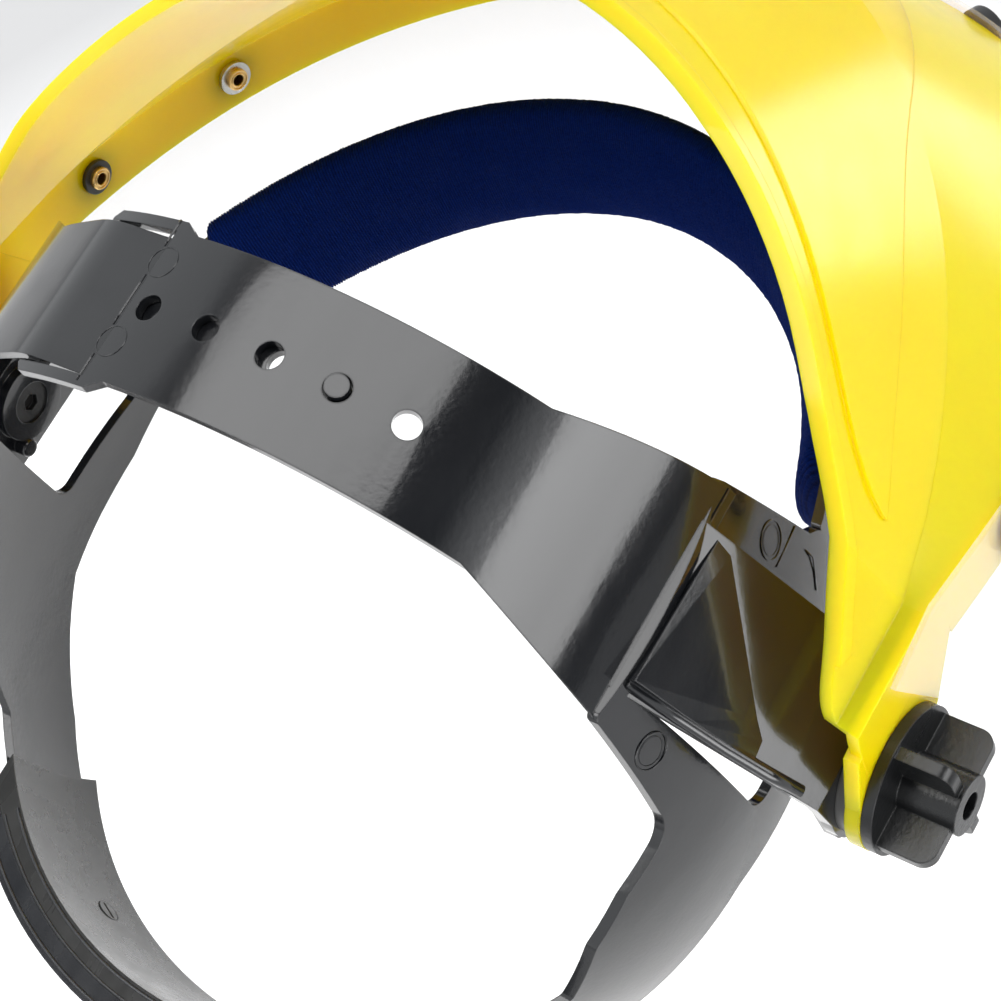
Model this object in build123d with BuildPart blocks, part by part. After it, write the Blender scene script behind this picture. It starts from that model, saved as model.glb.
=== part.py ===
"""Face-shield headgear: an adjustable head harness with a ratchet nape band,
a rigid brow guard that tilts on two side pivots, and a clear visor riveted to it.

Frame: origin midway between the two side pivots, +Z up, the wearer faces -Y,
so the wearer's right hand side is -X.  All sizes are in millimetres.
"""
import os
from math import acos, cos, degrees, hypot, pi, radians, sin

from build123d import *

os.makedirs("parts", exist_ok=True)

# ---------------------------------------------------------------- driving sizes
band_thickness = 2.0          # moulded straps and head band

# crown strap: an elliptical arch over the head, seen from the front
crown_half_width = 81.1
crown_rise = 70.2
crown_centre_z = 18.4
crown_mid_y = 0.8
crown_right_width = 30.0
crown_left_width = 28.6
crown_kink_x = 53.7           # where the strap starts to widen
crease_x = 75.4
crease_z = 44.5
crease_front_y = -22.0
crease_rear_y = 24.0
crease_angle = 68.4           # arch bearings are measured from the top, left positive
peg_pitch = 9.4               # bearing between neighbouring holes
first_hole = 9.9
hole_count = 5
peg_hole_radius = 2.55
peg_radius = 2.15
buckle_step = 13.2
buckle_bar = 23.6
buckle_end = 26.8
buckle_outer = 17.1
buckle_inner = 15.0
bar_drop = 1.15
strap_end_angle = -23.5
layer_gap = 0.1

# the head form: ovals (height, half width, front depth, rear depth) about y = head_y
head_y = 8.0
head_ovals = (
    (-62.0, 78.0, 108.0, 74.0),
    (-15.0, 85.5, 113.0, 88.0),
    (52.0, 75.0, 104.0, 80.0),
)
band_end_y = -33.0            # where the front band is joined to the side yokes
sweat_outer = 2.4
sweat_ovals = ((-40.0, 67.6, 101.2, 80.0), (20.0, 80.0, 108.5, 80.0))
sweat_clear = 0.3

# side pivots, from the inside out along X
nut_inner_x = 98.8
nut_thickness = 2.7
tongue_thickness = 2.4
spacer_thickness = 2.5
ear_thickness = 3.0
side_clear = 0.1
tongue_inner_x = nut_inner_x + nut_thickness
spacer_inner_x = tongue_inner_x + tongue_thickness
ear_inner_x = spacer_inner_x + spacer_thickness + side_clear
ear_outer_x = ear_inner_x + ear_thickness
knob_inner_x = ear_outer_x + side_clear
tongue_radius = 13.8
tongue_bend_z = 11.0
ear_radius = 14.0
spacer_radius = 12.6
bush_radius = 5.0
bolt_radius = 2.5
bolt_head_radius = 4.6
bolt_head_depth = 2.2
nut_half = 12.4
boss_radius = 8.5
boss_depth = 2.2
stop_pin_radius = 2.0
running_gap = 0.06

# pivot knobs
knob_radius = 13.9
knob_disc = 2.2
knob_height = 13.4
knob_hub_radius = 5.6
knob_bore = 2.6
wing_reach = 13.2
wing_thickness = 2.4
wing_height = 12.6
insert_radius = 4.0
insert_length = 7.0

# brow guard; its flange lies in a plane that dips to the front (v rear, h up)
guard_tilt = -17.6
guard_wall = 2.3
rim_h = 18.1
flange_h = 31.0
# ovals up the guard: tilt, height, half width, depth, power, centre
guard_sections = (
    (guard_tilt, rim_h, 109.6, 135.3, 2.2, -29.1),
    (guard_tilt, flange_h, 109.6, 135.3, 2.2, -29.1),
    (1.1, 27.4, 108.0, 146.3, 1.8, 3.7),
    (18.5, 47.9, 97.4, 95.9, 1.9, -12.7),
)
knuckle_y = -34.0             # ahead of this the ovals curve, behind they run straight
shoulder_y = -20.0            # behind this the side walls run straight to the ears
guard_rear_y = 9.0
# side view of the wall above the ear (y, z), from the ear up to the planar top edge
ear_crest = ((5.8, 16.0), (4.7, 24.5), (3.0, 29.2), (-3.9, 34.5), (-11.7, 39.9), (-24.3, 48.7),
             (-35.7, 58.0), (-45.8, 63.0), (-53.7, 66.6), (-70.0, 73.6))
# side view of the raised crown panel (y, z)
panel_upper = ((-29.0, 37.5), (-34.0, 47.0), (-42.0, 53.5), (-56.0, 60.0), (-76.0, 66.0), (-100.0, 70.0))
panel_lower = ((-29.0, 37.5), (-42.0, 40.5), (-62.0, 41.0), (-86.0, 38.0), (-117.0, 27.0), (-160.0, 0.0))
panel_rise = 0.8
lip_height = 1.8
lip_swell = 1.0

# visor, hung on the outside of the flange
visor_thickness = 1.0
visor_top_h = 32.6
visor_bottom_h = -168.0
visor_corner = 40.0
visor_end_v = -17.0
fit_gap = 0.05

# rivets through visor and guard, as bearings from straight ahead
steel_rivets = (-68.8, -20.0, 20.0, 68.8)
black_rivets = (-85.5, 85.5)
rivet_h = 25.6
rivet_radius = 1.9
rivet_bore = 1.3
rivet_head_radius = 2.5
rivet_head = 0.8
washer_radius = 3.8
washer_thickness = 1.0
washer_sag = 0.3
cap_radius = 7.0
cap_thickness = 2.2

# ratchet housing at the nape
housing_top_z = -12.0
housing_bottom_z = -42.0
housing_half = 61.0
housing_wall = 1.8
housing_inner = -3.2
housing_split = 1.0
housing_outer = 5.6
slot_top = 0.3
nape_y = 94.0
nape_z = -27.0
nape_tilt = 11.6
nape_radius = 82.0
pitch_radius = 5.0
pinion_teeth = 10
pinion_root = 4.1
pinion_tip = 5.85
pinion_low = -1.2
pinion_high = 0.3
rack_tip = 4.3
rack_root = 6.2
rack_back = 10.4
rack_gap = 2.1
rack_low = -1.3
rack_high = 0.3
rack_long = 36.0
rack_short = 18.0
wheel_low = 0.8
wheel_high = 2.5
spring_t = 8.1
spring_half = 13.0
shaft_radius = 3.2
ratchet_radius = 7.6
notch_count = 20
dial_radius = 18.0
dial_height = 12.0
dial_grips = 12
screw_x = 36.0
screw_t = 7.0
screw_radius = 1.4
screw_head_radius = 2.6
screw_boss_radius = 3.2

RIGHT, LEFT = -1, 1
SIDES = (("right", RIGHT), ("left", LEFT))
REACH = 150.0                 # longer than any piece; used for through cuts


# ---------------------------------------------------------------- helpers
def finish(part, name):
    """Name a finished piece and write it to its own file."""
    part.label = name
    export_step(part, f"parts/{name}.step")


def head_section(level, grow):
    """Closed oval of the head form at one level, grown outward by a distance."""
    z, half_width, front, rear = level
    with BuildSketch(Plane.XY.offset(z)) as section:
        with BuildLine():
            EllipticalCenterArc((0, head_y), half_width + grow, rear + grow, 0, arc_size=180)
            EllipticalCenterArc((0, head_y), half_width + grow, front + grow, 180, arc_size=180)
        make_face()
    return section.sketch


def head_skin(outer_grow, inner_grow):
    """Shell that follows the head form between two offsets."""
    with BuildPart() as shell:
        loft([head_section(level, outer_grow) for level in head_ovals])
        loft([head_section(level, inner_grow) for level in head_ovals], mode=Mode.SUBTRACT)
    return shell.part


def outline_block(points, radii, reach, side=0, plane=Plane.YZ):
    """Block with a rounded outline in the side view; side picks one half of X."""
    with BuildPart() as block:
        with BuildSketch(plane):
            with BuildLine():
                FilletPolyline(*points, radius=radii, close=True)
            make_face()
        if side:
            extrude(amount=side * reach)
        else:
            extrude(amount=reach, both=True)
    return block.part


def arch_point(bearing, level):
    """Point (x, z) above the head on the crown arch, raised by a level."""
    t = radians(bearing)
    nx, nz = sin(t) / crown_half_width, cos(t) / crown_rise
    size = hypot(nx, nz)
    return (
        crown_half_width * sin(t) + level * nx / size,
        crown_centre_z + crown_rise * cos(t) + level * nz / size,
    )


def arch_strip(stations, thickness, half_width):
    """Strap of even thickness whose top follows (bearing, level) stations."""
    with BuildPart() as strip:
        with BuildSketch(Plane.XZ):
            with BuildLine():
                top = Spline(*[arch_point(bearing, level) for bearing, level in stations])
                low = Spline(*[arch_point(bearing, level - thickness) for bearing, level in stations])
                Line(top @ 0, low @ 0)
                Line(top @ 1, low @ 1)
            make_face()
        extrude(amount=half_width, both=True)
    return strip.part


def arch_place(bearing, level=0.0, y=crown_mid_y):
    """Plane on the crown arch, its z axis pointing up out of the strap."""
    t = radians(bearing)
    x, z = arch_point(bearing, level)
    return Plane(origin=(x, y, z), x_dir=(0, 1, 0),
                 z_dir=(sin(t) / crown_half_width, 0, cos(t) / crown_rise))


def strap_sketch(side, half_width, end_x):
    """Plan view of a crown strap: parallel, then widening to the fold above the ear."""
    with BuildSketch(Plane.XY) as plan:
        with BuildLine():
            Polyline(
                (end_x, crown_mid_y - half_width), (side * crown_kink_x, crown_mid_y - half_width),
                (side * crease_x, crease_front_y), (side * (crease_x + 5.0), crease_front_y),
                (side * (crease_x + 5.0), crease_rear_y), (side * crease_x, crease_rear_y),
                (side * crown_kink_x, crown_mid_y + half_width), (end_x, crown_mid_y + half_width),
                close=True)
        make_face()
    return plan.sketch


guard_plane = Plane(origin=(0, 0, 0), x_dir=(1, 0, 0),
                    z_dir=(0, sin(radians(guard_tilt)), cos(radians(guard_tilt))))
# side view in the guard's frame: local x runs to the rear, local y up
guard_side = Plane(origin=(0, 0, 0), x_dir=tuple(guard_plane.y_dir), z_dir=(1, 0, 0))
nape_plane = Plane(origin=(0, nape_y, nape_z), x_dir=(1, 0, 0),
                   z_dir=(0, sin(radians(nape_tilt)), cos(radians(nape_tilt))))
# rear view of the nape: z axis points out of the housing, local x to the wearer's left
nape_face = Plane(origin=(0, nape_y, nape_z), x_dir=(1, 0, 0), z_dir=tuple(nape_plane.y_dir))


def oval_xy(bearing, half_width, front, power, centre):
    """Point on a guard oval; bearing 0 is straight ahead."""
    s, c = sin(radians(bearing)), cos(radians(bearing))
    x = half_width * (1 if s >= 0 else -1) * abs(s) ** (2 / power)
    return x, centre - front * abs(c) ** (2 / power)


def local_v(tilt, h, y):
    """Fore-and-aft position in a tilted plane that lies at a given y."""
    return (y - h * sin(radians(tilt))) / cos(radians(tilt))


def side_x(v, half_width, front, power, centre):
    """Half width of a guard oval at a fore-and-aft position."""
    if v >= centre:
        return half_width
    return half_width * (1.0 - ((centre - v) / front) ** power) ** (1 / power)


def guard_section(level, grow):
    """Closed outline of the brow guard on one tilted plane, grown outward."""
    tilt, h, half_width, front, power, centre = level
    shape = (half_width + grow, front + grow, power, centre)
    knuckle = min(local_v(tilt, h, knuckle_y), centre)
    rear = local_v(tilt, h, shoulder_y)
    limit = degrees(acos(((centre - knuckle) / shape[1]) ** (power / 2)))
    plane = Plane(origin=(0, 0, 0), x_dir=(1, 0, 0),
                  z_dir=(0, sin(radians(tilt)), cos(radians(tilt)))).offset(h)
    with BuildSketch(plane) as section:
        with BuildLine():
            bow = Spline(*[oval_xy(limit * step / 9, *shape) for step in range(-9, 10)])
            x = side_x(rear, *shape)
            Line(bow @ 0, (-x, rear))
            Line((-x, rear), (x, rear))
            Line((x, rear), bow @ 1)
        make_face()
    return section.sketch


def guard_solid(grow):
    """Full body of the brow guard, grown outward: flange, shoulder, crown and side walls."""
    with BuildPart() as body:
        loft([guard_section(level, grow) for level in guard_sections], ruled=True)
        # straight side walls behind the shoulder
        corners = []
        for tilt, h, half_width, front, power, centre in guard_sections:
            v = local_v(tilt, h, shoulder_y)
            x = side_x(v, half_width + grow, front + grow, power, centre)
            corners.append((x, h * cos(radians(tilt)) - v * sin(radians(tilt))))
        corners.insert(0, (corners[0][0], -ear_radius - 2.0))
        with BuildSketch(Plane.XZ.offset(-shoulder_y)):
            with BuildLine():
                Polyline(*corners, *[(-x, z) for x, z in reversed(corners)], close=True)
            make_face()
        extrude(amount=shoulder_y - guard_rear_y)
    return body.part


def rim_place(bearing, grow):
    """Plane on the guard's flange at rivet height, its z axis pointing outward."""
    tilt, h, half_width, front, power, centre = guard_sections[0]
    shape = (half_width + grow, front + grow, power, centre)
    x, v = oval_xy(bearing, *shape)
    x1, v1 = oval_xy(bearing - 1.0, *shape)
    x2, v2 = oval_xy(bearing + 1.0, *shape)
    normal = Vector(v2 - v1, x1 - x2, 0).normalized()
    out = guard_plane.from_local_coords(normal)
    return Plane(origin=guard_plane.from_local_coords(Vector(x, v, rivet_h)), z_dir=tuple(out))


def pivot_plane(side, x):
    """Plane square to the pivot axis, its z axis pointing away from the head."""
    return Plane(origin=(side * x, 0, 0), x_dir=(0, side, 0), z_dir=(side, 0, 0))


skin = head_skin(0.0, -band_thickness)

# ---------------------------------------------------------------- front head band
with BuildPart() as headband_front:
    add(skin)
    add(outline_block([(band_end_y, 10.5), (band_end_y, -10.5), (-104.0, -20.5), (-130.0, -20.5),
                       (-130.0, 2.5), (-104.0, 2.5)], 0.8, REACH), mode=Mode.INTERSECT)
finish(headband_front.part, "headband_front")

# ---------------------------------------------------------------- sweat band
with BuildPart() as sweatband:
    loft([head_section(level, sweat_outer) for level in head_ovals])
    loft([head_section(level, 0.0) for level in sweat_ovals], mode=Mode.SUBTRACT)
    add(outline_block([(band_end_y - sweat_clear, 14.8), (band_end_y - sweat_clear, -10.6),
                       (-98.0, -22.0), (-135.0, -22.0), (-135.0, 5.0), (-102.0, 5.0)],
                      1.0, REACH), mode=Mode.INTERSECT)
    add(headband_front.part, mode=Mode.SUBTRACT)
finish(sweatband.part, "sweatband")


# ---------------------------------------------------------------- side halves of the harness
def side_yoke(side):
    """Legs round a window, rear strap, and the tongue that carries the pivot."""
    with BuildPart() as yoke:
        add(skin)
        add(outline_block(
            [(crease_front_y - 0.5, crease_z + 1.0), (crease_rear_y, crease_z + 1.0), (28.0, 12.5),
             (41.0, 6.5), (50.0, -1.0), (58.0, -13.6), (66.0, -15.2), (76.0, -15.2), (76.0, -38.8),
             (60.0, -38.8), (50.0, -36.6), (34.0, -29.0), (24.0, -24.5), (-4.0, -21.0),
             (band_end_y, -11.5), (band_end_y, 10.5), (-30.4, 14.0)],
            [1.6, 1.6, 8.0, 5.0, 5.0] + [1.6] * 12, REACH, side), mode=Mode.INTERSECT)
        add(outline_block([(-13.6, crease_z - 0.8), (17.0, crease_z - 0.8), (13.6, -10.2), (-15.4, -9.4)],
                          4.0, REACH, side), mode=Mode.SUBTRACT)
    with BuildPart() as shape:
        with BuildSketch(Plane.YZ):
            with BuildLine():
                Polyline((-14.6, crease_z + 2.0), (18.0, crease_z + 2.0), (13.6, 2.0),
                         (-tongue_radius, 2.0), close=True)
            make_face()
            Circle(tongue_radius)
        extrude(amount=side * REACH)
    # the tongue slopes out from the fold, then stands square to the pivot axis
    with BuildPart() as tongue:
        with BuildSketch(Plane.XZ):
            with BuildLine():
                Polyline((side * (crease_x - 2.6), crease_z + 1.2), (side * (crease_x - 0.4), crease_z + 1.2),
                         (side * spacer_inner_x, tongue_bend_z + 1.0),
                         (side * spacer_inner_x, -20.0), (side * tongue_inner_x, -20.0),
                         (side * tongue_inner_x, tongue_bend_z), close=True)
            make_face()
        extrude(amount=30.0, both=True)
        add(shape.part, mode=Mode.INTERSECT)
        with Locations(pivot_plane(side, tongue_inner_x)):
            Cylinder(bolt_radius, 20.0, mode=Mode.SUBTRACT)
        add(yoke.part)
    return tongue.part


# right half: carries the row of holes and, past the top, the buckle loop
with BuildPart() as harness_right:
    add(arch_strip([(bearing, 0.0) for bearing in range(-70, 31, 10)], band_thickness, REACH))
    step_x = arch_point(buckle_step, 0.0)[0]
    loop_x = arch_point(buckle_end, 0.0)[0]
    with BuildSketch(Plane.XY):
        add(strap_sketch(RIGHT, crown_right_width / 2, step_x))
        with BuildLine():
            Polyline((step_x - 5.0, crown_mid_y - crown_right_width / 2),
                     (step_x - 1.5, crown_mid_y - buckle_outer),
                     (loop_x - 1.5, crown_mid_y - buckle_outer),
                     (loop_x, crown_mid_y - buckle_outer + 1.5),
                     (loop_x, crown_mid_y + buckle_outer - 1.5),
                     (loop_x - 1.5, crown_mid_y + buckle_outer),
                     (step_x - 1.5, crown_mid_y + buckle_outer),
                     (step_x - 5.0, crown_mid_y + crown_right_width / 2), close=True)
        make_face()
        with Locations(((step_x + loop_x + 5.0) / 2, crown_mid_y)):
            Rectangle(loop_x + 5.0 - step_x, 2 * buckle_inner, mode=Mode.SUBTRACT)
    extrude(amount=REACH, mode=Mode.INTERSECT)
    # the end bar sits one layer lower, under the left strap
    with Locations(arch_place((buckle_bar + buckle_end) / 2, -bar_drop - band_thickness / 2)):
        Box(2 * buckle_outer - 1.0, 4.0, band_thickness)
    for index in range(hole_count):
        with Locations(arch_place(first_hole - peg_pitch * index)):
            Cylinder(peg_hole_radius, 12.0, mode=Mode.SUBTRACT)
    add(side_yoke(RIGHT))
finish(harness_right.part, "harness_right")

# left half: passes over the loop's end bar, dives under the right half and pegs into it
with BuildPart() as harness_left:
    under = -band_thickness - layer_gap
    over = -bar_drop + band_thickness + layer_gap - 0.05
    add(arch_strip([(strap_end_angle, under), (-16.0, under), (-8.0, under), (0.0, under), (6.0, under),
                    (13.0, under), (19.0, -0.9), (25.2, over), (31.0, 0.4), (38.0, 0.0), (46.0, 0.0),
                    (54.0, 0.0), (62.0, 0.0), (70.0, 0.0)], band_thickness - 0.2, REACH))
    tip_x = arch_point(strap_end_angle + 2.0, under)[0]
    add(strap_sketch(LEFT, crown_left_width / 2, tip_x))
    extrude(amount=REACH, mode=Mode.INTERSECT)
    with Locations(arch_place(first_hole - 3 * peg_pitch, -1.2)):
        Cylinder(peg_radius, 4.4)
    with Locations(arch_place(first_hole - 2 * peg_pitch - 1.2, under)):
        Cylinder(peg_hole_radius, 12.0, mode=Mode.SUBTRACT)
    add(side_yoke(LEFT))
finish(harness_left.part, "harness_left")

# ---------------------------------------------------------------- pivot hardware
for side_name, side in SIDES:
    with BuildPart() as pivot_nut:
        with BuildSketch(pivot_plane(side, nut_inner_x)):
            with Locations((0, -0.6)):
                RectangleRounded(2 * nut_half, 2 * nut_half - 3.0, 3.0)
        extrude(amount=nut_thickness)
        with BuildSketch(pivot_plane(side, nut_inner_x)):
            Circle(boss_radius)
        extrude(amount=-boss_depth)
        with BuildSketch(pivot_plane(side, nut_inner_x)):
            with Locations((side * 7.4, -7.0)):
                Circle(stop_pin_radius)
        extrude(amount=-boss_depth - 0.8)
        fillet(pivot_nut.edges().filter_by(GeomType.CIRCLE).sort_by(Axis.X)[0 if side > 0 else -1], 0.5)
        with Locations(pivot_plane(side, nut_inner_x)):
            Cylinder(bolt_radius, 3 * nut_thickness, mode=Mode.SUBTRACT)
        with BuildSketch(pivot_plane(side, nut_inner_x - boss_depth)):
            Circle(bolt_head_radius)
        extrude(amount=bolt_head_depth, mode=Mode.SUBTRACT)
    finish(pivot_nut.part, f"pivot_nut_{side_name}")

    with BuildPart() as pivot_bolt:
        with BuildSketch(pivot_plane(side, nut_inner_x - boss_depth + 0.4)):
            Circle(bolt_head_radius)
        extrude(amount=bolt_head_depth - 0.4)
        with BuildSketch(pivot_plane(side, nut_inner_x)):
            Circle(bolt_radius)
        extrude(amount=knob_inner_x + knob_height - 4.5 - nut_inner_x)
        with BuildSketch(pivot_plane(side, nut_inner_x - boss_depth + 0.4)):
            RegularPolygon(2.0, 6)
        extrude(amount=1.2, mode=Mode.SUBTRACT)
    finish(pivot_bolt.part, f"pivot_bolt_{side_name}")

    with BuildPart() as pivot_bush:
        with BuildSketch(pivot_plane(side, spacer_inner_x)):
            Circle(spacer_radius)
        extrude(amount=spacer_thickness)
        with BuildSketch(pivot_plane(side, spacer_inner_x)):
            Circle(bush_radius)
        extrude(amount=ear_outer_x - spacer_inner_x - 0.1)
        with Locations(pivot_plane(side, spacer_inner_x)):
            Cylinder(bolt_radius, 30.0, mode=Mode.SUBTRACT)
    finish(pivot_bush.part, f"pivot_bush_{side_name}")

    with BuildPart() as pivot_knob:
        with BuildSketch(pivot_plane(side, knob_inner_x)):
            Circle(knob_radius)
        extrude(amount=knob_disc)
        with BuildSketch(pivot_plane(side, knob_inner_x)):
            Circle(knob_hub_radius)
        extrude(amount=knob_height)
        with BuildSketch(pivot_plane(side, knob_inner_x)):
            Rectangle(2 * wing_reach, wing_thickness)
            Rectangle(wing_thickness, 2 * wing_reach)
        extrude(amount=wing_height)
        corners = pivot_knob.edges().filter_by(
            lambda edge: edge.length < wing_thickness + 0.1
            and abs(abs(edge.center().X) - knob_inner_x - wing_height) < 0.1
            and hypot(edge.center().Y, edge.center().Z) > wing_reach - 0.5)
        fillet(corners, 3.0)
        with BuildSketch(pivot_plane(side, knob_inner_x)):
            Circle(insert_radius)
        extrude(amount=insert_length, mode=Mode.SUBTRACT)
        with BuildSketch(pivot_plane(side, knob_inner_x)):
            Circle(knob_bore)
        extrude(amount=knob_height, mode=Mode.SUBTRACT)
    finish(pivot_knob.part, f"pivot_knob_{side_name}")

    with BuildPart() as knob_insert:
        with BuildSketch(pivot_plane(side, knob_inner_x)):
            Circle(insert_radius)
            Circle(bolt_radius + running_gap, mode=Mode.SUBTRACT)
        extrude(amount=insert_length)
    finish(knob_insert.part, f"knob_insert_{side_name}")

# ---------------------------------------------------------------- brow guard
with BuildPart() as ear_plates:
    with BuildSketch(Plane.YZ):
        Circle(ear_radius)
        with BuildLine():
            Polyline((ear_radius - 0.1, 1.5), (6.6, 20.0), (-20.0, 24.0), (-24.5, 13.0),
                     (-ear_radius, 0.0), close=True)
        make_face()
    extrude(amount=ear_outer_x, both=True)
    Box(2 * ear_inner_x, 2 * REACH, 2 * REACH, mode=Mode.SUBTRACT)

with BuildPart() as wall_outline:
    with BuildSketch(Plane.YZ):
        with BuildLine():
            crest = Spline(*ear_crest)
            # the top edge ahead of the crest lies just inside the uppermost plane
            tilt, h = guard_sections[-1][:2]
            front_z = (h + 2 * REACH * sin(radians(tilt))) / cos(radians(tilt))
            Polyline(crest @ 1, (-2 * REACH, front_z - 0.3), (-2 * REACH, -REACH),
                     (shoulder_y - 4.0, -REACH), (shoulder_y - 4.0, 14.0), (5.8, 14.0), crest @ 0)
        make_face()
    extrude(amount=REACH, both=True)

with BuildPart() as crown_panel:
    with BuildSketch(Plane.YZ):
        with BuildLine():
            upper = Spline(*panel_upper)
            lower = Spline(*panel_lower)
            Polyline(upper @ 1, (-170.0, 72.0), lower @ 1)
        make_face()
    extrude(amount=REACH, both=True)
    add(guard_solid(panel_rise), mode=Mode.INTERSECT)
    add(guard_solid(-guard_wall / 2), mode=Mode.SUBTRACT)

with BuildPart() as lip:
    add(guard_solid(lip_swell))
    add(guard_solid(-guard_wall / 2), mode=Mode.SUBTRACT)
    add(wall_outline.part, mode=Mode.INTERSECT)
    # only the edge stands out: the rest is cut away one lip height below it
    add(Pos(0, -lip_height, -lip_height) * wall_outline.part, mode=Mode.SUBTRACT)
    with BuildSketch(guard_plane.offset(visor_top_h + 1.0)):
        Rectangle(3 * REACH, 3 * REACH)
    extrude(amount=REACH, mode=Mode.INTERSECT)

with BuildPart() as brow_guard:
    add(guard_solid(0.0))
    add(crown_panel.part)
    add(lip.part)
    add(guard_solid(-guard_wall), mode=Mode.SUBTRACT)
    add(wall_outline.part, mode=Mode.INTERSECT)
    add(ear_plates.part)
    for side_name, side in SIDES:
        with Locations(pivot_plane(side, ear_inner_x)):
            Cylinder(bush_radius + running_gap, 12.0, mode=Mode.SUBTRACT)
    for bearing in steel_rivets + black_rivets:
        with Locations(rim_place(bearing, 0.0)):
            Cylinder(rivet_radius, 12.0, mode=Mode.SUBTRACT)
finish(brow_guard.part, "brow_guard")


# ---------------------------------------------------------------- visor
def flange_prism(grow, low_h, high_h):
    """Upright body with the plan outline of the guard's flange, open-ended at the rear."""
    half_width, front, power, centre = guard_sections[0][2:]
    shape = (half_width + grow, front + grow, power, centre)
    with BuildPart() as prism:
        with BuildSketch(guard_plane.offset(low_h)):
            with BuildLine():
                bow = Spline(*[oval_xy(bearing, *shape) for bearing in range(-90, 91, 10)])
                Polyline(bow @ 0, (-shape[0], 12.0), (shape[0], 12.0), bow @ 1)
            make_face()
        extrude(amount=high_h - low_h)
    return prism.part


with BuildPart() as visor_outline:
    with BuildSketch(guard_side):
        with BuildLine():
            corner_h = visor_bottom_h + visor_corner
            Line((visor_end_v, corner_h), (visor_end_v, 0.0))
            Line((visor_end_v, 0.0), (-12.6, 8.2))
            Line((-12.6, 8.2), (1.4, 25.4))
            Line((1.4, 25.4), (-12.0, visor_top_h))
            Line((-12.0, visor_top_h), (-REACH - 40.0, visor_top_h))
            Line((-REACH - 40.0, visor_top_h), (-REACH - 40.0, visor_bottom_h))
            Line((-REACH - 40.0, visor_bottom_h), (visor_end_v - visor_corner, visor_bottom_h))
            CenterArc((visor_end_v - visor_corner, corner_h), visor_corner, -90, 90)
        make_face()
    extrude(amount=REACH, both=True)

with BuildPart() as visor:
    add(flange_prism(fit_gap + visor_thickness, visor_bottom_h, visor_top_h))
    add(flange_prism(fit_gap, visor_bottom_h, visor_top_h), mode=Mode.SUBTRACT)
    add(visor_outline.part, mode=Mode.INTERSECT)
    for bearing in steel_rivets + black_rivets:
        with Locations(rim_place(bearing, 0.0)):
            Cylinder(rivet_radius, 12.0, mode=Mode.SUBTRACT)
finish(visor.part, "visor")


# ---------------------------------------------------------------- rivets, washers, caps
def ring_stack(bearings, pieces):
    """Turned rings at each bearing; pieces are (low, high, radius, bore)."""
    with BuildPart() as group:
        for bearing in bearings:
            for low, high, radius, bore in pieces:
                with BuildSketch(rim_place(bearing, 0.0).offset(low)):
                    Circle(radius)
                    if bore:
                        Circle(bore, mode=Mode.SUBTRACT)
                extrude(amount=high - low)
    return group.part


washer_high = -guard_wall - washer_sag
washer_low = washer_high - washer_thickness
visor_face = fit_gap + visor_thickness + fit_gap
all_rivets = steel_rivets + black_rivets
finish(ring_stack(all_rivets, (
    (washer_low - rivet_head, washer_low, rivet_head_radius, rivet_bore),
    (washer_low, visor_face, rivet_radius, rivet_bore),
    (visor_face, visor_face + rivet_head, rivet_head_radius, rivet_bore),
)), "visor_rivets")
finish(ring_stack(steel_rivets, ((washer_low, washer_high, washer_radius, rivet_radius),)), "steel_washers")
finish(ring_stack(black_rivets, ((washer_low, washer_high, washer_radius, rivet_radius),)), "black_washers")
finish(ring_stack(all_rivets, (
    (visor_face, visor_face + rivet_head, cap_radius, rivet_head_radius),
    (visor_face + rivet_head, visor_face + cap_thickness, cap_radius, 0.0),
)), "visor_caps")


# ---------------------------------------------------------------- nape housing
def nape_block(inner, outer, top, bottom, half):
    """Piece of the head form's skin across the nape, between two levels."""
    with BuildPart() as block:
        add(head_skin(outer, inner))
        with Locations((0, 20.0 + REACH / 2, (top + bottom) / 2)):
            Box(2 * half, REACH, top - bottom, mode=Mode.INTERSECT)
    return block.part


def nape_place(x, t, level=0.0):
    """Plane square to the nape's arc at a sideways and upward position."""
    nx = x / nape_radius
    ny = (1.0 - nx * nx) ** 0.5
    reach = nape_radius + level
    origin = nape_plane.from_local_coords(Vector(nx * reach, ny * reach - nape_radius, t))
    normal = nape_plane.y_dir * ny + nape_plane.x_dir * nx
    return Plane(origin=origin, x_dir=tuple(nape_plane.z_dir), z_dir=tuple(normal))


screw_places = ((-screw_x, screw_t), (screw_x, -screw_t))
cavity_top = housing_top_z - housing_wall
cavity_bottom = housing_bottom_z + housing_wall
cavity_floor = housing_inner + 1.1
cavity_roof = housing_outer - housing_wall

with BuildPart() as housing_screws:
    for x, t in screw_places:
        with Locations(nape_place(x, t, housing_inner + 0.5)):
            Cylinder(screw_head_radius - 0.1, 0.7)
        with Locations(nape_place(x, t, 0.0)):
            Cylinder(screw_radius, 6.0)
        with Locations(nape_place(x, t, housing_inner)):
            Box(0.7, 4.0, 0.7, mode=Mode.SUBTRACT)
finish(housing_screws.part, "housing_screws")

with BuildPart() as nape_plate:
    add(nape_block(housing_inner, housing_split, housing_top_z, housing_bottom_z, housing_half))
    add(nape_block(cavity_floor, housing_outer, cavity_top, cavity_bottom, housing_half + 9.0),
        mode=Mode.SUBTRACT)
    for x, t in screw_places:
        with Locations(nape_place(x, t, housing_inner)):
            Cylinder(screw_head_radius, 1.6, mode=Mode.SUBTRACT)
    add(housing_screws.part, mode=Mode.SUBTRACT)
finish(nape_plate.part, "nape_plate")

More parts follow.
